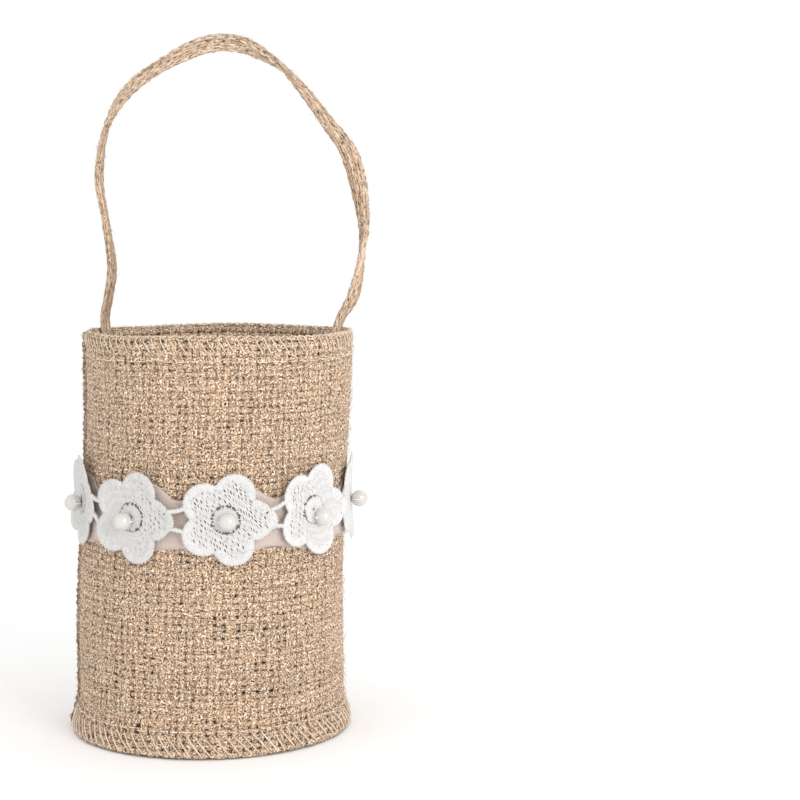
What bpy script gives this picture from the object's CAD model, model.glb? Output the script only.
import math

import bpy
import numpy as np
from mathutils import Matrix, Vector


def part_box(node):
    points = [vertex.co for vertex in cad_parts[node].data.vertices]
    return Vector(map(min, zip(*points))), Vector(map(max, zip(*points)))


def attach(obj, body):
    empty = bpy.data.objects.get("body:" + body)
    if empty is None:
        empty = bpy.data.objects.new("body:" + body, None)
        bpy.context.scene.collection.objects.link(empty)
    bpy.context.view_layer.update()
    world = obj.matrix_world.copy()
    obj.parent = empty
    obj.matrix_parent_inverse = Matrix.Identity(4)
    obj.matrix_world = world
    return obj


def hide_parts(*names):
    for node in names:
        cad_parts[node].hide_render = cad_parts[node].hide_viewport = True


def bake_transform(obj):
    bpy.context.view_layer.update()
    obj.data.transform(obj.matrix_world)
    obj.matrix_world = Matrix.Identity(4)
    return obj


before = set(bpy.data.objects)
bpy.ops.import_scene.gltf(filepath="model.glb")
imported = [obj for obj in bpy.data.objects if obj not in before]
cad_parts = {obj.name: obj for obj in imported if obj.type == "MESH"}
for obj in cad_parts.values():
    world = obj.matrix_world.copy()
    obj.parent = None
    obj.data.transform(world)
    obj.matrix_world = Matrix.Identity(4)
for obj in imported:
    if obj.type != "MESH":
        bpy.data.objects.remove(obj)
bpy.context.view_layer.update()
mm = 0.001

# ---- The wall ----
# One panel of stiffened burlap, rolled into a cylinder. The cloth is a plain weave of soft,
# uneven jute yarns about 2.6 mm apart, with small open squares between them. Its foot turns
# outwards where the base is sewn in, and the wall draws in a little at the lace.

wall_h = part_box("wall_panel")[1].z
ribbon_stands = 0.35 * mm  # the ribbon's outer face, out from the wall
wall_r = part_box("lace_ribbon")[1].x - ribbon_stands
foot_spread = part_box("wall_panel")[1].x - wall_r + 1 * mm
base_seam_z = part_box("base_disc")[1].z
trim_z = (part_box("lace_ribbon")[0].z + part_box("lace_ribbon")[1].z) / 2
seam_angle = math.radians(196.2)
warp_count = 120
warp_pitch = math.tau / warp_count
weft_pitch = 2.52 * mm
steps_per_crossing = 3
warp_steps = 2.8  # the warp has fewer, so that one mesh can hold more of it
yarn_half_w = 1.15 * mm
yarn_half_t = 0.45 * mm
weave_depth = 0.4 * mm
lumps = 0.08 * mm
crest_tone = 0.35  # how much paler the crests of the yarns are worn than their middle
cloth_mid = -(weave_depth + yarn_half_t)  # the cloth's middle, inside its outer face
rng = np.random.default_rng(11)


def ease(x, low, high):
    """0 at and beyond low, 1 at and beyond high, and smooth between them."""
    t = np.clip((np.asarray(x, float) - low) / (high - low), 0, 1)
    return t * t * (3 - 2 * t)


def lean_at(z):
    """How far the basket is pushed over at a height: its foot stands a little towards -X."""
    lean = 4 * mm * ease(z, 1.02 * wall_h, 0) ** 0.8
    return np.stack([-0.94 * lean, -0.34 * lean], -1)


def wall_at(angle, z, depth):
    """A point on the wall: depth is out from its outer face."""
    angle, z, depth = np.broadcast_arrays(angle, z, depth)
    waist = 1.1 * mm * np.exp(-(((z - 92 * mm) / (36 * mm)) ** 2))
    foot = foot_spread * ease(z, 1.5 * base_seam_z, -2 * mm)
    dents = 0.35 * mm * np.sin(3 * angle + 40 * z + 1) + 0.25 * mm * np.sin(5 * angle - 60 * z)
    rim = 0.3 * mm * np.sin(4 * angle + 0.6) * ease(z, 0.8 * wall_h, wall_h)
    r = wall_r + depth + foot - waist + dents * ease(z, 0, 20 * mm)
    lean = lean_at(z)
    return np.stack([r * np.cos(angle) + lean[..., 0], r * np.sin(angle) + lean[..., 1],
                     z + rim], -1)


def ripple(along, rows, wave, size):
    """A smooth random wobble along each row, of about that wavelength and size."""
    total = 0
    for k in range(3):
        start = rng.uniform(0, math.tau, (rows, 1))
        total = total + np.sin(math.tau * along / wave * (0.6 + 0.55 * k) + start)
    return total * size / 2


def unit(v):
    return v / np.maximum(np.linalg.norm(v, axis=-1, keepdims=True), 1e-12)


def tubes(centres, through, wide, thick, sides=6, shade=0.5, rough=0.0):
    """Closed tubes of yarn along rows of points. through points out of the cloth, and wide and
    thick are a yarn's half sizes across and through the cloth. rough is the size of its lumps.
    Returns a skein: points, loops, face sizes, a UV for the whole skein, a UV in metres round
    and along, and a shade."""
    rows, steps = centres.shape[:2]
    next_u, next_v = 7.3 * mm, 31 * mm  # each yarn has its own place in the fibres' pattern
    travel = unit(np.gradient(centres, axis=1))
    through = unit(np.broadcast_to(through, centres.shape))
    across = unit(np.cross(through, travel))
    through = np.cross(travel, across)
    wide = np.broadcast_to(wide, (rows, steps))[..., None]
    thick = np.broadcast_to(thick, (rows, steps))[..., None]
    turn = math.tau * np.arange(sides) / sides
    rings = (centres[:, :, None] + across[:, :, None] * (wide * np.cos(turn))[..., None]
             + through[:, :, None] * (thick * np.sin(turn))[..., None])
    if rough:
        rings = rings + rng.normal(0, rough, rings.shape)
    r = np.arange(rows)[:, None, None]
    s = np.arange(steps - 1)[None, :, None]
    k = np.arange(sides)[None, None, :]
    a = (r * steps + s) * sides + k
    b = (r * steps + s) * sides + (k + 1) % sides
    quads = np.stack([a, b, b + sides, a + sides], -1).reshape(-1, 4)
    length = np.concatenate([np.zeros((rows, 1)), np.cumsum(
        np.linalg.norm(np.diff(centres, axis=1), axis=-1), axis=1)], 1)
    size = math.tau * float(np.mean(wide) + np.mean(thick)) / 2
    corner_k = np.stack([k, k + 1, k + 1, k], -1) + 0 * a[..., None]
    corner_s = np.stack([s, s, s + 1, s + 1], -1) + 0 * a[..., None]
    corner_r = r[..., None] + 0 * corner_k
    sheet_uv = np.stack([(corner_r + corner_k / sides) / rows, corner_s / (steps - 1)], -1)
    yarn_uv = np.stack([corner_k / sides * size + corner_r * next_u,
                        length[corner_r, corner_s] + corner_r * next_v], -1)
    ends = np.concatenate([(r[:, 0] * steps) * sides + np.arange(sides)[::-1],
                           (r[:, 0] * steps + steps - 1) * sides + np.arange(sides)])
    end_row = np.tile(np.arange(rows), 2)[:, None] + 0 * ends
    end_v = np.repeat([0.0, 1.0], rows)[:, None] + 0 * ends
    end_uv = np.stack([(end_row + 0.5) / rows, end_v], -1)
    end_yarn = np.stack([end_row * next_u, end_row * next_v], -1)
    return {
        "points": rings.reshape(-1, 3),
        "loops": np.concatenate([quads.ravel(), ends.ravel()]),
        "sizes": np.concatenate([np.full(len(quads), 4), np.full(len(ends), sides)]),
        "uv": np.concatenate([sheet_uv.reshape(-1, 2), end_uv.reshape(-1, 2)]),
        "yarn": np.concatenate([yarn_uv.reshape(-1, 2), end_yarn.reshape(-1, 2)]),
        "shade": np.repeat(np.broadcast_to(shade, (rows, steps)).ravel(), sides),
    }


def joined(skeins):
    """Several skeins as one, each with its own strip of the first UV map."""
    total = sum(len(s["points"]) for s in skeins)
    strip, first, out = 0.0, 0, {}
    parts = []
    for s in skeins:
        share = len(s["points"]) / total
        uv = s["uv"] * [share, 1] + [strip, 0]
        parts.append({**s, "uv": uv, "loops": s["loops"] + first})
        strip += share
        first += len(s["points"])
    for key in parts[0]:
        out[key] = np.concatenate([p[key] for p in parts])
    return out


def piece(name, skein, material, node, body="basket"):
    """A mesh object made of a skein, riding on a body in place of a CAD node."""
    mesh = bpy.data.meshes.new(name)
    mesh.vertices.add(len(skein["points"]))
    mesh.vertices.foreach_set("co", skein["points"].astype(np.float32).ravel())
    mesh.loops.add(len(skein["loops"]))
    mesh.loops.foreach_set("vertex_index", skein["loops"].astype(np.int32))
    mesh.polygons.add(len(skein["sizes"]))
    starts = np.concatenate([[0], np.cumsum(skein["sizes"])[:-1]])
    mesh.polygons.foreach_set("loop_start", starts.astype(np.int32))
    for layer, key in (("OFBake", "uv"), ("yarn", "yarn")):
        uv = mesh.uv_layers.new(name=layer)
        uv.data.foreach_set("uv", skein[key].astype(np.float32).ravel())
    shade = mesh.attributes.new("shade", "FLOAT", "POINT")
    shade.data.foreach_set("value", skein["shade"].astype(np.float32))
    mesh.polygons.foreach_set("use_smooth", np.ones(len(skein["sizes"]), bool))
    mesh.update(calc_edges=True)
    mesh.validate()
    mesh.materials.append(material)
    obj = bpy.data.objects.new(name, mesh)
    bpy.context.collection.objects.link(obj)
    if body:
        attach(obj, body)
    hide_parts(*([node] if isinstance(node, str) else node))
    return obj


def paint(code, alpha=1.0):
    """An sRGB hex colour as linear RGBA."""
    parts = [int(code[i:i + 2], 16) / 255 for i in (1, 3, 5)]
    return [c / 12.92 if c < 0.04045 else ((c + 0.055) / 1.055) ** 2.4 for c in parts] + [alpha]


def add(tree, kind, links=(), **settings):
    """Adds a node: settings are its own properties, and links sets or links its inputs."""
    made = tree.nodes.new("ShaderNode" + kind)
    for key, value in settings.items():
        setattr(made, key, value)
    for key, value in dict(links).items():
        if isinstance(value, bpy.types.NodeSocket):
            tree.links.new(value, made.inputs[key])
        else:
            made.inputs[key].default_value = value
    return made


def yarn_material(name, light, middle, dark, roughness, sheen, fibre, lay, bump, mottle=0.0,
                  crack=0.6):
    """Spun fibre: long streaks that lie at a slant along each yarn, a tone for each yarn that
    drifts along it, and short pale and dark flecks. fibre is a streak's width in metres, lay is
    how far the fibres turn round the yarn for each metre along it, mottle is how strong the
    flecks are and crack how dark the gaps between the streaks."""
    material = bpy.data.materials.new(name)
    material.use_nodes = True
    tree = material.node_tree
    tree.nodes.clear()
    where = add(tree, "UVMap", uv_map="yarn").outputs["UV"]
    parts = add(tree, "SeparateXYZ", {"Vector": where}).outputs
    turned = add(tree, "Math", {0: parts["Y"], 1: lay, 2: parts["X"]}, operation="MULTIPLY_ADD")
    spun = add(tree, "CombineXYZ", {"X": turned.outputs[0], "Y": parts["Y"]}).outputs[0]
    long = add(tree, "Mapping", {"Vector": spun, "Scale": (1 / fibre, 0.12 / fibre, 1)})
    streak = add(tree, "TexNoise", {"Vector": long.outputs[0], "Scale": 1.0, "Detail": 3.0,
                                    "Roughness": 0.6}).outputs["Fac"]
    short = add(tree, "Mapping", {"Vector": spun, "Scale": (0.5 / fibre, 0.42 / fibre, 1)})
    fleck = add(tree, "TexNoise", {"Vector": short.outputs[0], "Scale": 1.0, "Detail": 1.0,
                                   "Roughness": 0.6}).outputs["Fac"]
    blotch = add(tree, "TexNoise", {"Vector": where, "Scale": 160.0, "Detail": 2.0}).outputs["Fac"]
    tone = add(tree, "Attribute", attribute_name="shade").outputs["Fac"]
    drift = add(tree, "Math", {0: blotch, 1: 0.5, 2: tone}, operation="MULTIPLY_ADD").outputs[0]
    pale = add(tree, "MapRange", {"Value": drift, "From Min": 0.3, "From Max": 1.2}).outputs[0]
    base = add(tree, "Mix", {"Factor": pale, 6: paint(middle), 7: paint(light)},
               data_type="RGBA").outputs[2]
    bright = add(tree, "MapRange", {"Value": fleck, "From Min": 0.565, "From Max": 0.595,
                                    "To Max": mottle}).outputs[0]
    lit = add(tree, "Mix", {"Factor": bright, 6: base, 7: paint("#fff2dc")},
              data_type="RGBA").outputs[2]
    deep = add(tree, "MapRange", {"Value": fleck, "From Min": 0.435, "From Max": 0.4,
                                  "To Max": mottle}).outputs[0]
    flecked = add(tree, "Mix", {"Factor": deep, 6: lit, 7: paint(dark)},
                  data_type="RGBA").outputs[2]
    groove = add(tree, "MapRange", {"Value": streak, "From Min": 0.5, "From Max": 0.36,
                                    "To Max": crack}).outputs[0]
    colour = add(tree, "Mix", {"Factor": groove, 6: flecked, 7: paint(dark)},
                 data_type="RGBA").outputs[2]
    relief = add(tree, "Bump", {"Height": streak, "Strength": bump,
                                "Distance": 0.12 * mm}).outputs[0]
    shader = add(tree, "BsdfPrincipled", {"Base Color": colour, "Roughness": roughness,
                                          "Sheen Weight": sheen, "Sheen Roughness": 0.5,
                                          "Normal": relief})
    add(tree, "OutputMaterial", {"Surface": shader.outputs[0]})
    return material


# Raw jute, retted and spun, natural colour: matt straw yarns with pale and brown fibres in
# them, which catch the light along their length. The streaks are two and a half times as
# coarse as a real bundle of jute fibres, which is 0.1 mm wide, so that they show.
jute = yarn_material("spun jute, plain weave", "#d8b18d", "#a38569", "#1f1108",
                     roughness=0.85, sheen=0.2, fibre=0.25 * mm, lay=0.35, bump=1.0, mottle=1.0,
                     crack=0.4)

# How the cloth runs: up the wall, over the rim and down inside as the hem
fold_r = 0.85 * mm
fold_starts = wall_h - 0.9 * mm
hem_depth = wall_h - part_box("rim_hem")[0].z
cloth_end = fold_starts + math.pi * fold_r + hem_depth


def outward(angle, rise=0.0):
    """The direction out from the axis at an angle, tipped up by rise radians."""
    angle, rise = np.broadcast_arrays(angle, rise)
    return np.stack([np.cos(angle) * np.cos(rise), np.sin(angle) * np.cos(rise),
                     np.sin(rise)], -1)


def cloth_at(angle, along, lift):
    """A point of the wall's cloth, along from its foot and lift out from its outer face, and
    the direction that its outer face looks."""
    angle, along, lift = np.broadcast_arrays(angle, along, lift)
    turn = np.clip((along - fold_starts) / fold_r, 0, math.pi)
    inside = np.maximum(along - fold_starts - math.pi * fold_r, 0)
    off = lift - cloth_mid
    depth = cloth_mid - fold_r * (1 - np.cos(turn)) + off * np.cos(turn)
    z = np.minimum(along, fold_starts) + (fold_r + off) * np.sin(turn) - inside
    return wall_at(angle, z, depth), outward(angle, turn)


def warp_yarns(low, high, rows):
    """The warp of the wall's cloth between two distances along it."""
    steps = round((high - low) / weft_pitch * warp_steps) + 1
    along = np.linspace(low, high, steps)
    angle = (rows + 0.5) * warp_pitch + warp_drift(along, rows) * warp_pitch
    lift = cloth_mid + weave_depth * (-1.0) ** rows * np.cos(math.pi * (along / weft_pitch - 0.5))
    centre, out = cloth_at(angle, along, lift)
    fat = warp_size[rows[:, 0]][:, None] * (1 + ripple(along, len(rows), 15 * mm, 0.22))
    shade = (warp_tone[rows[:, 0]][:, None] + ripple(along, len(rows), 30 * mm, 0.12)
             + crest_tone * (lift - cloth_mid) / weave_depth)
    return tubes(centre, out, fat * yarn_half_w * 0.96, yarn_half_t, shade=shade, rough=lumps)


def warp_drift(along, rows):
    """How far a warp yarn wanders from its place, in yarn spacings. It joins up over the rim."""
    start = warp_start[rows[:, 0]]
    return 0.15 * (np.sin(along * 190 + start[:, :1]) + np.sin(along * 83 + start[:, 1:]))


def weft_yarns(rows):
    """The weft yarns of these rows, which go right round from the side seam."""
    round_it = np.linspace(0, math.tau, warp_count * steps_per_crossing + 1)
    along = (rows + 0.5) * weft_pitch + ripple(round_it, len(rows), 1.5, 0.11) * weft_pitch
    lift = cloth_mid - weave_depth * (-1.0) ** rows * np.cos(
        math.pi * (round_it / warp_pitch - 0.5))
    centre, out = cloth_at(round_it, along, lift)
    fat = rng.normal(1, 0.1, (len(rows), 1)) * (1 + ripple(round_it, len(rows), 0.3, 0.22))
    shade = (0.5 + rng.normal(0, 0.11, (len(rows), 1)) + ripple(round_it, len(rows), 0.6, 0.12)
             + crest_tone * (lift - cloth_mid) / weave_depth)
    return tubes(centre, out, fat * yarn_half_w, yarn_half_t, shade=shade, rough=lumps)


warp_size = rng.normal(1, 0.1, warp_count)
warp_tone = rng.normal(0.45, 0.11, warp_count)
warp_start = rng.uniform(0, math.tau, (warp_count, 2))
warp_rows = np.arange(warp_count)[:, None]
hem_row = math.ceil(fold_starts / weft_pitch - 0.5)  # the first weft row of the hem
weft_rows = np.arange(hem_row)[:, None]
warp_split = 98  # the warp is in two meshes, with this many yarns in the first
weft_split = 30

panel = [
    piece("wall_warp", warp_yarns(0.4 * mm, fold_starts, warp_rows[:warp_split]),
          jute, "wall_panel"),
    piece("wall_warp_rest", warp_yarns(0.4 * mm, fold_starts, warp_rows[warp_split:]),
          jute, "wall_panel"),
    piece("wall_weft_low", weft_yarns(weft_rows[:weft_split]), jute, "wall_panel"),
    piece("wall_weft_high", weft_yarns(weft_rows[weft_split:]), jute, "wall_panel")]

# ---- The rim ----
# The wall's top edge is folded over to the inside and sewn down, so the rim is a soft round
# fold and the cloth is double for the first 9 mm.

hem_rows = np.arange(hem_row, int(cloth_end / weft_pitch - 0.5) + 1)[:, None]
hem = piece("rim_hem_cloth",
            joined([warp_yarns(fold_starts, cloth_end, warp_rows), weft_yarns(hem_rows)]),
            jute, "rim_hem")

# ---- The base ----
# A round of the same burlap, with its edge turned down inside the wall's foot, so that the
# basket stands on the seam and the round hangs clear of the table.

base_yarns = 36
base_z = base_seam_z + cloth_mid
base_r = wall_r + 2 * cloth_mid - 0.4 * mm
base_centre = np.array([*lean_at(base_z), base_z])


def base_round_yarns(turned):
    """One direction of the base's weave: turned swaps X and Y."""
    skeins = []
    pitch = 2 * base_r / base_yarns
    for k in range(base_yarns):
        across = (k + 0.5) * pitch - base_r
        half = math.sqrt(base_r ** 2 - across ** 2)
        steps = max(4, round(2 * half / pitch * steps_per_crossing))
        along = np.linspace(-half, half, steps)
        side = across + 0.13 * pitch * np.sin(along * 120 + 5 * k)
        crossing = (along + base_r) / pitch - 0.5
        lift = weave_depth * (-1.0) ** (k + turned) * np.cos(math.pi * crossing)
        if turned:
            centre = np.stack([side, along, lift], -1)
        else:
            centre = np.stack([along, side, lift], -1)
        fat = yarn_half_w * (1 + 0.12 * np.sin(along * 170 + 3 * k)) * rng.normal(1, 0.07)
        shade = rng.normal(0.45, 0.12) + 0 * along
        skeins.append(tubes(centre[None] + base_centre, (0, 0, 1), fat[None], yarn_half_t,
                            shade=shade[None]))
    return skeins


skirt_count = 116
skirt_angle = (np.arange(skirt_count)[:, None] + 0.5) * math.tau / skirt_count
skirt_up = np.linspace(0.5 * mm, base_seam_z - 1.2 * mm, 10)
skirt_lift = 3 * cloth_mid + weave_depth * (-1.0) ** np.arange(skirt_count)[:, None] * np.cos(
    math.pi * (skirt_up / weft_pitch - 0.5))
skirt_round = np.linspace(0, math.tau, skirt_count * 3 + 1)
skirt_row = np.arange(3)[:, None]
skirt_depth = 3 * cloth_mid - weave_depth * (-1.0) ** skirt_row * np.cos(
    math.pi * (skirt_round * skirt_count / math.tau - 0.5))
skirt_warp = tubes(wall_at(skirt_angle, skirt_up, skirt_lift), outward(skirt_angle, 0 * skirt_up),
                   yarn_half_w * 0.95, yarn_half_t, shade=0.4)
skirt_weft = tubes(wall_at(skirt_round, (skirt_row + 0.5) * weft_pitch, skirt_depth),
                   outward(skirt_round, 0 * skirt_depth), yarn_half_w, yarn_half_t, shade=0.5)
base_cloth = piece("base_cloth", joined(base_round_yarns(0) + [skirt_warp]),
                   jute, "base_disc")
base_weft = piece("base_cloth_weft", joined(base_round_yarns(1) + [skirt_weft]),
                  jute, "base_disc")

# ---- The side seam ----
# The panel's two ends are sewn together outside, and their raw edges are overcast with a
# reddish thread, which leaves a narrow frayed ridge from the rim to the foot.

ridge_up = np.linspace(0.3 * mm, wall_h - 0.3 * mm, 130)
ridge_side = np.array([-0.8, 0.0, 0.8])[:, None] * mm
ridge_out = np.array([0.35, 0.85, 0.35])[:, None] * mm
ridge_angle = seam_angle + (ridge_side + ripple(ridge_up, 3, 26 * mm, 0.25 * mm)) / wall_r
ridge = tubes(wall_at(ridge_angle, ridge_up, ridge_out + ripple(ridge_up, 3, 17 * mm, 0.15 * mm)),
              outward(ridge_angle), 0.6 * mm * (1 + ripple(ridge_up, 3, 9 * mm, 0.2)),
              0.5 * mm, shade=-0.1 + ripple(ridge_up, 3, 20 * mm, 0.25), rough=lumps)
fray_count = 220
fray_z = np.linspace(1 * mm, wall_h - 1 * mm, fray_count)[:, None] + rng.normal(
    0, 0.35 * mm, (fray_count, 1))
fray_t = np.linspace(0, 1, 5)
fray_len = rng.uniform(1.2 * mm, 3.4 * mm, (fray_count, 1))
fray_way = np.where(rng.random((fray_count, 1)) < 0.5, -1, 1)
fray = tubes(
    wall_at(seam_angle + fray_way * fray_t * fray_len * 0.6 / wall_r,
            fray_z + fray_t ** 2 * rng.normal(0, 0.7 * mm, (fray_count, 1)),
            0.6 * mm + fray_t * fray_len * 0.55),
    outward(np.full((fray_count, 5), seam_angle), math.pi / 2),
    rng.uniform(0.12, 0.3, (fray_count, 1)) * mm * (1.15 - fray_t), 0.14 * mm * (1.15 - fray_t),
    sides=5, shade=rng.normal(0.1, 0.3, (fray_count, 1)))
piece("side_seam_ridge", joined([ridge, fray]), jute, "side_seam")

# ---- The sewing ----
# Cotton thread, in slanted overlock loops round the rim and the foot and in straight rows at
# the hem and the base seam. Each stitch dips into the cloth at both ends.

thread_r = 0.22 * mm


def thread(paths, radius, shade=0.5, sides=6):
    """Round threads with rounded ends along rows of points."""
    t = np.linspace(-1, 1, paths.shape[1])
    size = radius * np.sqrt(np.maximum(1 - np.abs(t) ** 7, 0.12))
    lean = unit(np.cross(paths[:, -1] - paths[:, 0], (0.31, 0.17, 0.93)))[:, None]
    return tubes(paths, lean, size, size, sides=sides, shade=shade)


def stitches(count, pitch_angle, low, high, slant, height=0.3 * mm, radius=thread_r):
    """A row of stitches round the wall. Each runs from high to low along the cloth while it
    moves slant metres to the right."""
    t = np.linspace(0, 1, 8)
    angle = np.arange(count)[:, None] * pitch_angle
    angle = angle + rng.normal(0, 0.25 * mm / wall_r, (count, 1))
    lean = rng.normal(1, 0.12, (count, 1))
    far = np.abs((angle - seam_angle + math.pi) % math.tau - math.pi)[:, 0] > 2.2 * mm / wall_r
    along = high + (low - high) * t + rng.normal(0, 0.2 * mm, (count, 1))
    height = height + rng.normal(0, 0.06 * mm, (count, 1))
    lift = -0.35 * mm + (height + 0.35 * mm) * np.sin(math.pi * t) ** 0.55
    centre = cloth_at(angle + (t - 0.5) * slant * lean / wall_r, along, lift)[0]
    tone = rng.normal(0.55, 0.15, (count, 1))
    return thread(centre[far], radius, shade=tone[far])


# Two-ply cotton sewing thread, undyed: a little paler and smoother than the jute, with the
# twist of its plies showing as slanted lines.
cotton = yarn_material("undyed cotton sewing thread, two-ply", "#f8ebda", "#dcc4a6", "#96755a",
                       roughness=0.7, sheen=0.3, fibre=0.2 * mm, lay=0.9, bump=0.6)
rust_cotton = yarn_material("russet cotton overcasting thread", "#a87450", "#7a4e34", "#3f2415",
                            roughness=0.7, sheen=0.3, fibre=0.2 * mm, lay=0.9, bump=0.6)

rim_loop_low, rim_loop_high = 5.2 * mm, 0.7 * mm  # its ends, below and above the rim
rim_loop_slant = 3.8 * mm
foot_loop_low, foot_loop_high = 0.5 * mm, 0.6 * mm  # its ends, above the foot and below the seam
foot_loop_slant = 6.2 * mm
row_len = 3.2 * mm
hem_row_down = 8 * mm
foot_row_up = 0.3 * mm
loop_count = 93
loop_pitch = math.tau / loop_count
piece("rim_overlock", stitches(loop_count, loop_pitch, wall_h - rim_loop_low,
                               wall_h + rim_loop_high, rim_loop_slant, height=0.14 * mm,
                               radius=0.2 * mm),
      cotton, "rim_overlock_stitching")
piece("foot_overlock", stitches(loop_count, loop_pitch, foot_loop_low,
                                base_seam_z - foot_loop_high, foot_loop_slant,
                                height=0.45 * mm, radius=0.25 * mm),
      cotton, "base_overlock_stitching")
row_count = 76
row_pitch = math.tau / row_count
piece("hem_row", stitches(row_count, row_pitch, wall_h - hem_row_down, wall_h - hem_row_down,
                          row_len, height=0.02 * mm, radius=0.18 * mm),
      cotton, "hem_stitching")
piece("foot_row", stitches(row_count, row_pitch, base_seam_z + foot_row_up,
                           base_seam_z + foot_row_up, row_len),
      cotton, "base_seam_stitching")
edge_turn = np.linspace(seam_angle + 0.03, seam_angle + math.tau - 0.03, 500)[None]
edge_along = wall_h + 0.1 * mm + 0.3 * mm * np.sin(edge_turn * loop_count)
edge = cloth_at(edge_turn, edge_along, 0.1 * mm + 0.05 * mm * np.cos(edge_turn * loop_count))[0]
piece("rim_edge_cord", thread(edge, 0.24 * mm), cotton, "rim_edge_thread")

over_count = 60
over_t = np.linspace(-1, 1, 9)
over_z = np.linspace(2 * mm, wall_h - 2 * mm, over_count)[:, None]
over_z = over_z + rng.normal(0, 0.35 * mm, over_z.shape)
over_high = rng.normal(1.75, 0.12, over_z.shape) * mm
over = wall_at(seam_angle + over_t * 1.4 * mm / wall_r,
               over_z - over_t * rng.normal(1.0, 0.3, over_z.shape) * mm,
               -0.3 * mm + over_high * np.sqrt(1 - 0.97 * over_t ** 2))
piece("side_seam_overcast", thread(over, 0.2 * mm), rust_cotton,
      "side_seam_stitching")

# ---- The organza ribbon ----
# A strip of sheer, pinkish organza goes round the middle behind the lace, from one side of the
# side seam to the other. Its edges are cut in loose waves and it lies nearly flat on the wall.

ribbon_ends = math.radians(2.6)  # between each end and the side seam
ribbon_half = (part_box("lace_ribbon")[1].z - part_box("lace_ribbon")[0].z) / 2
organza_t = 0.14 * mm
flower_count = 9
flower_step = math.tau / flower_count
first_flower = math.radians(215)
trim_rise = np.array([3.2, 0, 0, 1.3, 1.6, 0.8, 0.2, -0.4, 0]) * mm  # of each flower, over trim_z

ribbon_angle = np.linspace(seam_angle + ribbon_ends, seam_angle + math.tau - ribbon_ends, 361)
ribbon_across = np.linspace(-1, 1, 13)
between = (1 - np.cos((ribbon_angle - first_flower) / flower_step * math.tau)) / 2
wave = ripple(ribbon_angle, 1, 0.45, 0.5 * mm)[0]
top_dip, foot_dip = 6.6 * mm, 1.6 * mm  # how far the edges draw in between two flowers
ribbon_top = ribbon_half + 0.6 * mm - top_dip * between ** 2 + wave
ribbon_foot = ribbon_half + 0.8 * mm - foot_dip * between ** 2 - wave


def ribbon_face(lift):
    """One face of the ribbon, as rows of points round the wall."""
    up = np.where(ribbon_across[:, None] > 0, ribbon_top, ribbon_foot) * ribbon_across[:, None]
    crease = 0.25 * mm * np.sin(up * 700 + 9 * ribbon_angle) * np.sin(23 * ribbon_angle)
    return wall_at(ribbon_angle, trim_z + 0.4 * mm + up, lift + 0.3 * mm + crease)


def slab(front, back, shade=0.5, back_shade=0.5):
    """A thin closed sheet between two faces, each given as rows of points."""
    rows, steps = front.shape[:2]
    a = np.arange(rows - 1)[:, None] * steps + np.arange(steps - 1)
    face = np.stack([a, a + 1, a + steps + 1, a + steps], -1).reshape(-1, 4)
    low = np.arange(steps)
    high = low + (rows - 1) * steps
    left = np.arange(rows) * steps
    right = left + steps - 1
    rim = np.concatenate([low, right[1:], high[::-1][1:], left[::-1][1:-1]])
    after = np.roll(rim, -1)
    under = rows * steps
    edge = np.stack([after, rim, rim + under, after + under], -1)
    quads = np.concatenate([face, face[:, ::-1] + under, edge])
    across, along = np.meshgrid(np.linspace(0, 1, rows), np.linspace(0, 1, steps), indexing="ij")
    flat = np.stack([along.ravel(), across.ravel()], -1)
    corner = quads.ravel() % under
    half = np.where(quads.ravel() < under, 0.0, 0.5)
    size = np.linalg.norm(np.diff(front, axis=1), axis=-1).sum(1).max()
    depth = np.linalg.norm(np.diff(front, axis=0), axis=-1).sum(0).max()
    return {
        "points": np.concatenate([front.reshape(-1, 3), back.reshape(-1, 3)]),
        "loops": quads.ravel(), "sizes": np.full(len(quads), 4),
        "uv": flat[corner] * [1, 0.5] + np.stack([0 * half, half], -1),
        "yarn": flat[corner] * [size, depth],
        "shade": np.repeat([float(shade), float(back_shade)], under),
    }


# Polyester organza, woven from clear filament and left stiff: sheer and pinkish, so that the
# burlap shows through it, with a faint grid of its threads. Real ones are 0.12 mm apart and
# are drawn three times as coarse.
organza = bpy.data.materials.new("polyester organza, plain weave")
organza.use_nodes = True
organza.node_tree.nodes.clear()
where = add(organza.node_tree, "UVMap", uv_map="yarn").outputs["UV"]
organza_grid = [
    add(organza.node_tree, "TexWave", {"Vector": where, "Scale": 0.31 / (0.36 * mm),
                                       "Distortion": 0.6},
        wave_type="BANDS", bands_direction=way).outputs["Fac"] for way in "XY"]
threads = add(organza.node_tree, "Math", {0: organza_grid[0], 1: organza_grid[1]},
              operation="MAXIMUM").outputs[0]
tint = add(organza.node_tree, "Mix", {"Factor": threads, 6: paint("#e8d3ca"), 7: paint("#f8eae4")},
           data_type="RGBA").outputs[2]
organza_shader = add(organza.node_tree, "BsdfPrincipled",
                     {"Base Color": tint, "Roughness": 0.45, "Sheen Weight": 0.3, "Alpha": 0.43})
add(organza.node_tree, "OutputMaterial", {"Surface": organza_shader.outputs[0]})

ribbon = piece("lace_organza", slab(ribbon_face(organza_t), ribbon_face(0.0)),
               organza, "lace_ribbon")

# ---- The lace flowers ----
# Nine five-petalled flowers of machine embroidery: a net ground, a filling of slanted threads
# that part in small slits, a padded ring round the eye and a satin-stitched, picoted edge.

flower_r = 17.0 * mm
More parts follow.
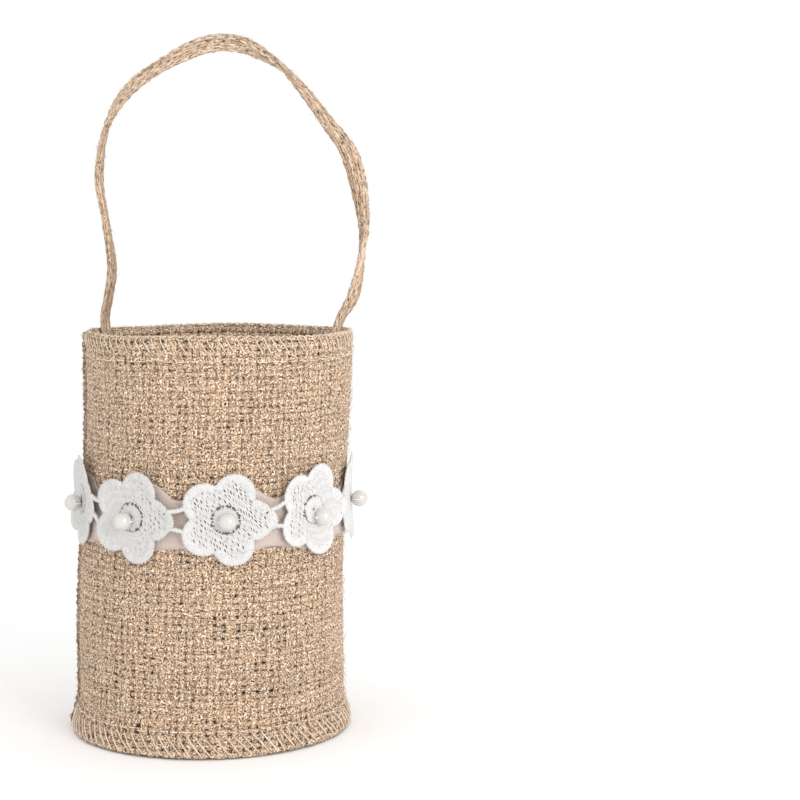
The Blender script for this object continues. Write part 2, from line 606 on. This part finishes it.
# The arcs of its outline: the direction of each one's middle from the eye in degrees, how far
# out that is and its radius in millimetres, and where round it the arc starts and ends. The
# petal that looks to the right tapers to a narrow tip, where the bridges start.
petal_arcs = [(70, 9.5, 7.5, -88, 88), (142, 9.5, 7.5, -88, 88), (214, 9.5, 7.5, -88, 88),
              (286, 9.5, 7.5, -88, 88), (358, 9.5, 7.5, -88, -32), (358, 9.5, 7.5, 32, 88),
              (358, 14, 4.4, -66, 66)]
notch_r = 12.0 * mm  # the filling is whole up to here in the corners between petals
flower_bend_r = 95 * mm  # the embroidery is stiffer than the wall and bends less
flower_back = wall_r + 0.1 * mm
flower_curl = np.array([1.6, 1.0, 0.9, 1.1, 0.7, 1.2, 1.5, 0.9, 1.1]) * mm  # of the petals' tips
flower_tip = [-0.03, 0, 0, 0.02, 0.07, 0.03, 0, -0.02, 0]  # rise of the right side over the left
flower_side = np.array([0, -1.1, -0.9, -0.9, 0, 0.4, -0.3, 0, 0.5]) * mm  # shift to the right
trim_lean = lean_at(trim_z)
flower_tone = [0.2, 0.05, 0.3, 0.55, 0.6, 0.4, 0.3, 0.4, 0.3]  # how pale its thread is
parting = [0.3, 0.55, 1.0, 0.4, 0.3, 0.8, 0.6, 1.0, 0.5]  # how far the filling's threads part
parting_side = np.radians([0, 10, 0, 170, 90, 200, 30, 300, 120])  # and where they part most
edge_len = 3.3 * mm
edge_pitch = 0.5 * mm
fill_pitch = 0.56 * mm
fill_lay = math.radians(-62)
ring_in, ring_out = 0.4 * mm, 4.65 * mm
eyelet_out = 5.1 * mm


def lace_at(i, y, z, lift):
    """A point on a flower, y to the right of its centre and z above it, lift above its back."""
    y, z, lift = np.broadcast_arrays(y, z, lift)
    turn = first_flower + i * flower_step
    lobes = 1 + 0.5 * np.sin(2 * np.arctan2(z, y) + i)
    curl = flower_curl[i] * lobes * np.clip(np.hypot(y, z) / flower_r, 0, 1.1) ** 3
    bend_r = flower_bend_r + lift + curl + flower_tip[i] * y
    out = flower_back - flower_bend_r + bend_r * np.cos(y / flower_bend_r)
    side = bend_r * np.sin(y / flower_bend_r)
    side = side + flower_side[i]
    return np.stack([out * np.cos(turn) - side * np.sin(turn) + trim_lean[0],
                     out * np.sin(turn) + side * np.cos(turn) + trim_lean[1],
                     trim_z + trim_rise[i] + z], -1)


def edge_distance(y, z):
    """How far a point is inside the nearest petal's outline."""
    inside = []
    for turn, out, r, *_ in petal_arcs:
        a = math.radians(turn)
        inside.append(r * mm - np.hypot(y - out * mm * math.cos(a), z - out * mm * math.sin(a)))
    return np.max(inside, 0)


def outline_r(turn):
    """The distance from a flower's centre to its outline in a direction."""
    reach = []
    for middle, out, r, *_ in petal_arcs:
        a = math.radians(middle)
        chord = r ** 2 - (out * np.sin(turn - a)) ** 2
        hit = (chord > 0) & (np.cos(turn - a) > 0)
        reach.append(np.where(hit, out * np.cos(turn - a) + np.sqrt(np.maximum(chord, 0)), 0))
    return np.max(reach, 0) * mm


def satin_edge(i):
    """Threads side by side across the petals' edges. Every second one is a longer picot."""
    turn, middle, out, r = [], [], [], []
    for a, far, size, start, end in petal_arcs:
        count = round(math.radians(end - start) * size * mm / edge_pitch)
        turn.append(np.radians(a + np.linspace(start, end, count)))
        middle.append(np.full(count, math.radians(a)))
        out.append(np.full(count, far * mm))
        r.append(np.full(count, size * mm))
    turn, middle, out, r = (np.concatenate(part)[:, None] for part in (turn, middle, out, r))
    picot = np.where(np.arange(len(turn)) % 2, 0.2, -0.05)[:, None] * mm
    t = np.linspace(0, 1, 8)
    inner = edge_len + rng.normal(0, 0.3 * mm, turn.shape)
    reach = r + picot - t * (picot + inner)
    slant = turn + rng.normal(0, 0.006, turn.shape) + 0.05 * t
    y = out * np.cos(middle) + reach * np.cos(slant)
    z = out * np.sin(middle) + reach * np.sin(slant)
    lift = 0.2 * mm + 0.6 * mm * np.sin(math.pi * np.clip(t + 0.03, 0, 1)) ** 0.5
    return thread(lace_at(i, y, z, lift + rng.normal(0, 0.015 * mm, turn.shape)), 0.37 * mm,
                  shade=flower_tone[i] + rng.normal(0.25, 0.06, turn.shape), sides=5)


def filling(i):
    """Rows of slanted threads, in pairs that touch and part by turns: that leaves the slits."""
    skeins = []
    s = np.arange(-flower_r, 1.1 * flower_r, 0.4 * mm)
    for n, q in enumerate(np.arange(-flower_r, flower_r, fill_pitch)):
        if n % 2 == 0:
            wave = rng.uniform(3.3, 4.0) * mm
            strong = 0.75 + 0.5 * np.sin(s * rng.uniform(500, 900) + rng.uniform(0, math.tau))
        phase = rng.uniform(0, math.tau) if n % 2 else rng.normal(0, 0.45)
        y = s * math.cos(fill_lay) - q * math.sin(fill_lay)
        z = s * math.sin(fill_lay) + q * math.cos(fill_lay)
        near = 0.5 + 0.5 * np.cos(np.arctan2(z, y) - parting_side[i])
        share = np.where(parting[i] < 1, parting[i] + 1.1 * (near - 0.6), 1) * strong
        apart = 0.27 * mm * np.clip(share, 0, 1)
        sway = apart * np.sin(math.tau * s / wave + phase) * (-1) ** (n // 2)
        y, z = y - sway * math.sin(fill_lay), z + sway * math.cos(fill_lay)
        inside = (edge_distance(y, z) > edge_len - 1.4 * mm) | (np.hypot(y, z) < notch_r)
        inside &= np.hypot(y, z) > eyelet_out
        cuts = np.flatnonzero(np.diff(np.concatenate([[0], inside, [0]])))
        for start, stop in zip(cuts[::2], cuts[1::2]):
            if stop - start > 2:
                part = slice(start, stop)
                path = lace_at(i, y[part], z[part], 0.6 * mm)
                tone = flower_tone[i] + rng.normal(0.15, 0.07)
                skeins.append(tubes(path[None], outward(first_flower + i * flower_step)[None],
                                    0.33 * mm, 0.2 * mm, sides=5, shade=tone))
    return skeins


def eye_ring(i):
    """The flat round eye. Between the threads that reach over to the filling are the eyelets,
    which lie mostly on the side where the filling parts."""
    count = 56
    turn = np.arange(count)[:, None] * math.tau / count
    near = 0.5 + 0.5 * np.cos(turn - parting_side[i])
    open_here = rng.random(turn.shape) < 0.75 * np.clip(parting[i] + 1.3 * (near - 0.5), 0.1, 1)
    t = np.linspace(0, 1, 7)
    far = np.where(open_here, ring_out, eyelet_out + 0.35 * mm)
    reach = ring_in + t * (far - ring_in)
    lift = 0.55 * mm + 0.2 * mm * np.sin(math.pi * t) ** 0.5
    return thread(lace_at(i, reach * np.cos(turn), reach * np.sin(turn), lift), 0.28 * mm,
                  shade=flower_tone[i] + rng.normal(0.2, 0.05, turn.shape), sides=5)


# Rayon embroidery thread, twisted and lustrous: white with a soft gleam along each thread.
embroidery = yarn_material("white rayon embroidery thread, satin stitched", "#e8e7e6", "#d2d0cd",
                           "#9b9791", roughness=0.5, sheen=0.2, fibre=0.2 * mm, lay=0.6, bump=0.5)
# The cotton net that the flowers are embroidered on: it shows as dark grey in the shade of the
# slits, and is pale at the back, where the bobbin thread covers it.
net = yarn_material("cotton net ground, bobbinet", "#d4d0c9", "#6e665d", "#39332c",
                    roughness=0.9, sheen=0.1, fibre=0.3 * mm, lay=0.0, bump=0.8)

ground_turn = np.linspace(0, math.tau, 121)
ground_share = np.linspace(0, 1, 12)[:, None]
ground_in = 0.3 * mm
ground_reach = ground_in + ground_share * (outline_r(ground_turn) - 1.5 * mm - ground_in)
for i in range(flower_count):
    ground = [lace_at(i, ground_reach * np.cos(ground_turn), ground_reach * np.sin(ground_turn), d)
              for d in (0.36 * mm, 0.1 * mm)]
    piece(f"lace_ground_{i + 1}", slab(*ground, shade=0.0, back_shade=1.4), net,
          f"lace_flower_{i + 1}")
    piece(f"lace_flower_{i + 1}", joined([satin_edge(i), eye_ring(i)] + filling(i)),
          embroidery, f"lace_flower_{i + 1}")

# ---- The lace bridges ----
# Two bars of wrapped thread join each flower to the next one, with a hole between them.

bar_r = 0.8 * mm
bar_leaves = 15.8 * mm, 3.1 * mm  # right of the flower's eye, and above and below it
bar_lands = -13.4 * mm, 4.8 * mm  # and the same on the next flower
bar_t = np.linspace(0, 1, 41)
bar_side = np.array([-1, 1])[:, None]


def bridge(i):
    """The two bars from a flower to the next one, each with short picots on its outer side."""
    ends = [lace_at(i, bar_leaves[0], bar_side * bar_leaves[1], 0.55 * mm),
            lace_at(i + 1, bar_lands[0], bar_side * bar_lands[1], 0.55 * mm)]
    path = ends[0] + (ends[1] - ends[0]) * bar_t[:, None]
    path[..., 2] -= bar_side * 0.5 * mm * np.sin(math.pi * bar_t)
    wrap = bar_r * (1 + 0.13 * np.cos(math.tau * bar_t * 9))
    bars = tubes(path, outward(first_flower + (i + 0.5) * flower_step)[None, None], wrap, wrap,
                 shade=0.5)
    roots = path[:, 12:29:8].reshape(-1, 1, 3)
    side = np.repeat(bar_side[:, 0], 3)[:, None, None]
    stub = roots + side * np.array([0, 0, 1]) * np.linspace(0.2, 1.15, 4)[:, None] * mm
    return joined([bars, thread(stub, 0.24 * mm, shade=0.6, sides=5)])


for i in range(flower_count - 1):
    piece(f"lace_bridge_{i + 1}", bridge(i), embroidery, f"lace_bridge_{i + 1}")

# ---- The pearls ----
# A 6.4 mm imitation pearl in the eye of each flower, drilled from side to side and held by a
# clear thread that comes out of both ends of its bore and goes back into the lace.

# ABS beads dipped in pearl essence and lacquered: greyish cream that goes to white where the
# lamps stand in the gloss.
pearl_coat = bpy.data.materials.new("moulded ABS bead, pearl lacquered")
pearl_coat.use_nodes = True
pearl_tree = pearl_coat.node_tree
pearl_shader = pearl_tree.nodes["Principled BSDF"]
cloud = add(pearl_tree, "TexNoise", {"Scale": 260.0, "Detail": 1.0}).outputs["Fac"]
nacre = add(pearl_tree, "Mix", {"Factor": cloud, 6: paint("#c6c2bc"), 7: paint("#d6d3ce")},
            data_type="RGBA").outputs[2]
pearl_tree.links.new(nacre, pearl_shader.inputs["Base Color"])
for socket, value in {"Roughness": 0.25, "Specular IOR Level": 1.0, "Coat Weight": 1.0,
                      "Coat Roughness": 0.1, "Coat IOR": 1.65, "Subsurface Weight": 0.1,
                      "Subsurface Scale": 0.002}.items():
    pearl_shader.inputs[socket].default_value = value
# Nylon monofilament, extruded: clear and glossy, and nearly white over the lace.
nylon = bpy.data.materials.new("nylon monofilament, extruded")
nylon.use_nodes = True
nylon_tree = nylon.node_tree
haze = add(nylon_tree, "TexNoise", {"Scale": 900.0}).outputs["Fac"]
milk = add(nylon_tree, "Mix", {"Factor": haze, 6: paint("#e8e4de"), 7: paint("#f8f6f2")},
           data_type="RGBA").outputs[2]
nylon_tree.links.new(milk, nylon_tree.nodes["Principled BSDF"].inputs["Base Color"])
nylon_tree.nodes["Principled BSDF"].inputs["Roughness"].default_value = 0.25

bore_r = 0.5 * mm
# How each pearl hangs on its thread: sunk in the soft lace, pulled to the right, and up
pearl_sunk = np.array([0.4, 0.9, 0.9, 0.9, 0.3, 0.7, 0.8, 0.6, 0.8]) * mm
pearl_side = np.array([0, 0.65, -0.7, -1.4, 0, 0.4, -0.3, 0, 0.5]) * mm
pearl_rise = np.array([1.4, 1.0, 1.5, 0.6, 0.1, -0.5, 0.3, 0, -0.4]) * mm
for i in range(flower_count):
    low, high = (np.array(corner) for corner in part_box(f"pearl_{i + 1}"))
    pearl_r = (high[2] - low[2]) / 2
    turn = first_flower + i * flower_step
    out, side = outward(turn), np.array([-math.sin(turn), math.cos(turn), 0])
    centre = (low + high) / 2 - out * pearl_sunk[i] + side * pearl_side[i]
    centre = centre + [*trim_lean, pearl_rise[i]]
    bore = math.asin(bore_r / pearl_r)
    polar = np.linspace(bore, math.pi - bore, 25)
    piece(f"pearl_{i + 1}", tubes((centre - np.cos(polar)[:, None] * pearl_r * side)[None], out,
                                  np.sin(polar) * pearl_r, np.sin(polar) * pearl_r, sides=32),
          pearl_coat, f"pearl_{i + 1}")
    reach = pearl_r + 0.25 * mm
    down = pearl_r - 0.3 * mm
    swing = np.linspace(0, math.pi / 2, 5)
    legs = []
    for way in (-1, 1):
        sides_at = np.concatenate([[0], reach - 0.4 * mm + 0.4 * mm * np.sin(swing), [reach]])
        drops = np.concatenate([[0], 0.4 * mm * (1 - np.cos(swing)), [down]])
        legs.append(thread((centre + way * sides_at[:, None] * side - drops[:, None] * out)[None],
                           0.24 * mm, sides=8))
    piece(f"pearl_thread_{i + 1}", joined(legs), nylon, f"pearl_thread_{i + 1}")

# ---- The handle ----
# A strip of burlap, folded lengthwise to a flat strap 6.3 mm wide, pressed and sewn along one
# edge. Its ends are sewn down inside the rim, and it stands up in a loop that twists a little.

hinge_over_strap = 3.3 * mm  # the part's strap starts half its width below the hinge line
hinge_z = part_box("handle_strap")[0].z + hinge_over_strap
strap_half_w = 3.15 * mm
strap_half_t = 1.15 * mm
# The strap's middle line: x and z above the rim's hinge line in millimetres, and the turn of
# its face in degrees. Between the two tabs its x and z are those of the part's handle_route.
strap_route = np.array([
    [-45.4, -18.5, 90], [-45.6, -9, 90], [-46.6, 0, 90], [-45, 8, 90], [-43.4, 20, 90],
    [-45.8, 37, 102], [-48.2, 54, 94], [-45, 72, 112], [-36, 86, 144], [-21, 96, 150],
    [-4, 102.6, 178], [10, 102, 205], [23.5, 95, 248], [32, 87, 280], [43, 73, 300],
    [52, 60, 340], [56.4, 40, 390], [56.2, 27, 428], [53, 10, 470], [47.4, 0, 456],
    [45.7, -9, 450], [45.4, -18.5, 450]])


def curve_through(points, steps):
    """A smooth curve through points, with some steps to each leg."""
    a = np.concatenate([points[:1], points, points[-1:]])
    u = np.linspace(0, 1, steps, endpoint=False)[:, None]
    legs = [0.5 * (2 * a[k + 1] + (a[k + 2] - a[k]) * u
                   + (2 * a[k] - 5 * a[k + 1] + 4 * a[k + 2] - a[k + 3]) * u ** 2
                   + (3 * a[k + 1] - a[k] - 3 * a[k + 2] + a[k + 3]) * u ** 3)
            for k in range(len(points) - 1)]
    return np.concatenate(legs + [points[-1:]])


strap_line = curve_through(strap_route, 12)
strap_middle = np.stack([strap_line[:, 0] * mm, 0 * strap_line[:, 0],
                         hinge_z + strap_line[:, 1] * mm], -1)
strap_heading = unit(np.gradient(strap_middle, axis=0))
strap_s = np.concatenate([[0], np.cumsum(np.linalg.norm(np.diff(strap_middle, axis=0), axis=1))])
strap_len = strap_s[-1]

# The strap's section is a flat oblong with round edges, measured round from one edge
section_a = np.linspace(0, math.tau, 241)
section = np.stack([
    strap_half_w * np.sign(np.cos(section_a)) * np.abs(np.cos(section_a)) ** 0.6,
    strap_half_t * np.sign(np.sin(section_a)) * np.abs(np.sin(section_a)) ** 0.6], -1)
section_s = np.concatenate([[0], np.cumsum(np.linalg.norm(np.diff(section, axis=0), axis=1))])


def strap_at(s, round_it, lift):
    """A point of the strap, s along it and round_it from 0 to 1 round it, lift out from its
    surface, and the direction out of the strap there."""
    s, round_it, lift = np.broadcast_arrays(s, round_it, lift)
    middle = np.stack([np.interp(s, strap_s, strap_middle[:, k]) for k in range(3)], -1)
    heading = unit(np.stack([np.interp(s, strap_s, strap_heading[:, k]) for k in range(3)], -1))
    turn = np.radians(np.interp(s, strap_s, strap_line[:, 2]))[..., None]
    side = np.stack([heading[..., 2], 0 * s, -heading[..., 0]], -1)
    wide = np.cos(turn) * side + np.sin(turn) * [0, 1, 0]
    thick = -np.sin(turn) * side + np.cos(turn) * [0, 1, 0]
    at = (round_it % 1) * section_s[-1]
    w, t = (np.interp(at, section_s, section[:, k]) for k in range(2))
    normal = unit(np.stack([w / strap_half_w ** 2, t / strap_half_t ** 2], -1))
    out = wide * normal[..., :1] + thick * normal[..., 1:]
    return middle + wide * w[..., None] + thick * t[..., None] + out * lift[..., None], out


# The same jute, pressed flat: smoother, with long dark gaps between the yarns that run along it
strap_jute = yarn_material("spun jute, folded and pressed strap", "#ecd1b5", "#b8987a", "#2e1d14",
                           roughness=0.85, sheen=0.2, fibre=0.34 * mm, lay=0.12, bump=0.7,
                           mottle=0.25, crack=1.0)
strap_yarns = 14
strap_pitch = 2.3 * mm
strap_lay = 1.4  # the yarns go round the strap this many times in a metre
strap_depth = 0.1 * mm
strap_mid = -0.6 * mm
wrap_count = int(strap_len / strap_pitch)


def strap_long_yarns():
    """The yarns that run along the strap, side by side all round it."""
    s = np.linspace(0.3 * mm, strap_len - 0.3 * mm, wrap_count * 3)
    row = np.arange(strap_yarns)[:, None]
    lift = (strap_mid + 0.28 * mm
            + strap_depth * (-1.0) ** row * np.cos(math.pi * (s / strap_pitch - 0.5)))
    round_it = row / strap_yarns + strap_lay * s + ripple(s, strap_yarns, 0.03, 0.008)
    path, out = strap_at(s, round_it, lift)
    fat = 0.6 * mm * (1 + ripple(s, strap_yarns, 7 * mm, 0.4))
    shade = 0.5 + rng.normal(0, 0.15, (strap_yarns, 1)) + ripple(s, strap_yarns, 30 * mm, 0.2)
    return tubes(path, out, fat, 0.36 * mm, shade=shade, rough=0.03 * mm)


def strap_wraps():
    """The yarns that cross the strap, each in one turn round it."""
    s = (np.arange(wrap_count)[:, None] + 0.5) * strap_pitch
    u = np.linspace(0, 1, strap_yarns * 4 + 1)
    phase = (u - strap_lay * s) * strap_yarns
    odd = (-1.0) ** np.arange(wrap_count)[:, None]
    lift = strap_mid - 0.05 * mm - strap_depth * odd * np.cos(math.pi * phase)
    bent = s + 0.3 * mm * np.sin(math.tau * u + 0.2) + rng.normal(0, 0.12 * mm, s.shape)
    path, out = strap_at(bent, u, lift)
    fat = 0.7 * mm * (1 + ripple(u, wrap_count, 0.4, 0.25))
    return tubes(path, out, fat, 0.34 * mm, shade=0.1 + rng.normal(0, 0.15, s.shape) + 0 * u)


strap_core_s = np.linspace(0.5 * mm, strap_len - 0.5 * mm, 170)
core_a = strap_at(strap_core_s, 0.0, -1.1 * mm)[0]
core_b = strap_at(strap_core_s, 0.5, -1.1 * mm)[0]
core_up = strap_at(strap_core_s, 0.25, 0.0)[1]
strap_core = tubes(((core_a + core_b) / 2)[None], core_up[None], 2.2 * mm, 0.35 * mm, sides=10,
                   shade=-0.4)

fuzz_t = np.linspace(0, 1, 6)


def fuzz(place, count, long):
    """Loose fibres that lift off a surface. place(a, b, lift) is a point on it, a metres and b
    metres from the fibre's root."""
    heading = rng.uniform(0, math.tau, (count, 1))
    length = rng.uniform(0.4, 1, (count, 1)) * long
    bow = rng.normal(0, 0.9, (count, 1))
    a = length * np.cos(heading + bow * fuzz_t) * fuzz_t
    b = length * np.sin(heading + bow * fuzz_t) * fuzz_t
    rise = length * rng.uniform(0.05, 0.4, (count, 1)) * np.sin(fuzz_t * 1.9)
    path = place(a, b, rise - 0.15 * mm)
    path[..., 2] = np.maximum(path[..., 2], 0.2 * mm)
    size = rng.uniform(0.04, 0.09, (count, 1)) * mm * (1.1 - fuzz_t)
    return tubes(path, (0.3, 0.5, 0.81), size, size, sides=3,
                 shade=rng.normal(0.7, 0.25, (count, 1)))


strap_fuzz_s = rng.uniform(22 * mm, strap_len - 22 * mm, (500, 1))
strap_fuzz_u = rng.uniform(0, 1, (500, 1))
strap = piece("handle_strap_cloth", joined([
    strap_long_yarns(), strap_wraps(), strap_core,
    fuzz(lambda a, b, lift: strap_at(strap_fuzz_s + a, strap_fuzz_u + b / section_s[-1], lift)[0],
         500, 4 * mm)]), strap_jute, ("handle_strap", "handle_tab_left", "handle_tab_right"),
    body=None)
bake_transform(strap)

sewn_pitch = 4.4 * mm
sewn_s = np.arange(26 * mm, strap_len - 26 * mm, sewn_pitch)[:, None]
sewn_t = np.linspace(0, 1, 8)
sewn = strap_at(sewn_s + sewn_t * 3 * mm, 0.12,
                -0.35 * mm + 0.6 * mm * np.sin(math.pi * sewn_t) ** 0.5)[0]
piece("handle_seam_thread", thread(sewn, 0.28 * mm), cotton, "handle_strap_stitching",
      body="handle")

tack_z = np.linspace(0, 1, 41)
for name, way in (("left", -1), ("right", 1)):
    low, high = (np.array(corner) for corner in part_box(f"handle_tack_{name}"))
    face = abs(low[0] + high[0]) / 2 - 0.55 * mm
    rows = []
    for z in (low[2] + 1.4 * mm, high[2] - 1.4 * mm):
        zig = np.abs((tack_z * 10) % 2 - 1) * 2 - 1
        rows.append(np.stack([way * (face - 0.15 * mm * np.abs(zig)), (tack_z - 0.5) * 6 * mm,
                              z + zig * 1.4 * mm], -1))
    piece(f"handle_tack_zigzag_{name}", thread(np.stack(rows), 0.3 * mm), cotton,
          f"handle_tack_{name}")

# ---- The loose fibres ----
# Burlap sheds: fine hairs of jute stand off the wall, the rim and the foot all over.

hair_count = 5000
hair_angle = rng.uniform(0, math.tau, (hair_count, 1))
hair_z = rng.uniform(1 * mm, wall_h - 0.5 * mm, (hair_count, 1))
piece("wall_fuzz", fuzz(lambda a, b, lift: wall_at(hair_angle + a / wall_r, hair_z + b, lift),
                        hair_count, 4.5 * mm), jute, "wall_panel")
rim_hairs = 420
rim_angle = rng.uniform(0, math.tau, (rim_hairs, 1))
piece("rim_fuzz", fuzz(lambda a, b, lift: cloth_at(rim_angle + a / wall_r,
                                                   wall_h + 0.8 * mm + b, lift + 0.1 * mm)[0],
                       rim_hairs, 3.5 * mm), jute, "rim_hem")

# ---- The studio ----
# A pale sweep under soft, even light that comes a little from the front and the right, and
# a long lens that looks slightly down on the rim.

camera_turn = math.radians(20)
camera_far = 0.700
camera_up = 0.1864
lens_mm = 82.85
look_down = math.radians(5.103)
look_right = math.radians(5.601)

lens = bpy.data.cameras.new("camera")
lens.sensor_width = 36
lens.lens = lens_mm
lens.clip_start, lens.clip_end = 0.01, 20
camera = bpy.data.objects.new("camera", lens)
bpy.context.collection.objects.link(camera)
camera.location = (math.sin(camera_turn) * camera_far, -math.cos(camera_turn) * camera_far,
                   camera_up)
camera.rotation_euler = (math.pi / 2 - look_down, 0, camera_turn - look_right)
bpy.context.scene.camera = camera

floor_mesh = bpy.data.meshes.new("floor")
floor_half = 6
floor_mesh.from_pydata([(x * floor_half, y * floor_half, -0.0005) for x, y in
                        ((-1, -1), (1, -1), (1, 1), (-1, 1))], [], [(0, 1, 2, 3)])
floor = bpy.data.objects.new("floor", floor_mesh)
bpy.context.collection.objects.link(floor)
paper = bpy.data.materials.new("white paper sweep")
paper.use_nodes = True
paper.node_tree.nodes["Principled BSDF"].inputs["Base Color"].default_value = paint("#ffffff")
paper.node_tree.nodes["Principled BSDF"].inputs["Roughness"].default_value = 0.9
floor_mesh.materials.append(paper)

bpy.context.scene.view_settings.view_transform = "Standard"
world = bpy.data.worlds.new("studio")
bpy.context.scene.world = world
world.use_nodes = True
world.node_tree.nodes["Background"].inputs["Color"].default_value = paint("#ffffff")
world.node_tree.nodes["Background"].inputs["Strength"].default_value = 1.0


def softbox(name, place, size, power):
    """A square area light that faces the middle of the basket."""
    light = bpy.data.lights.new(name, "AREA")
    light.size = size
    light.energy = power
    lamp = bpy.data.objects.new(name, light)
    bpy.context.collection.objects.link(lamp)
    lamp.location = place
    lamp.rotation_euler = (Vector((0, 0, 0.12)) - Vector(place)).to_track_quat("-Z", "Y").to_euler()


softbox("key", (0.95, -0.75, 0.5), 0.5, 5.6)
softbox("fill", (-0.7, -1.1, 0.45), 0.35, 0.9)
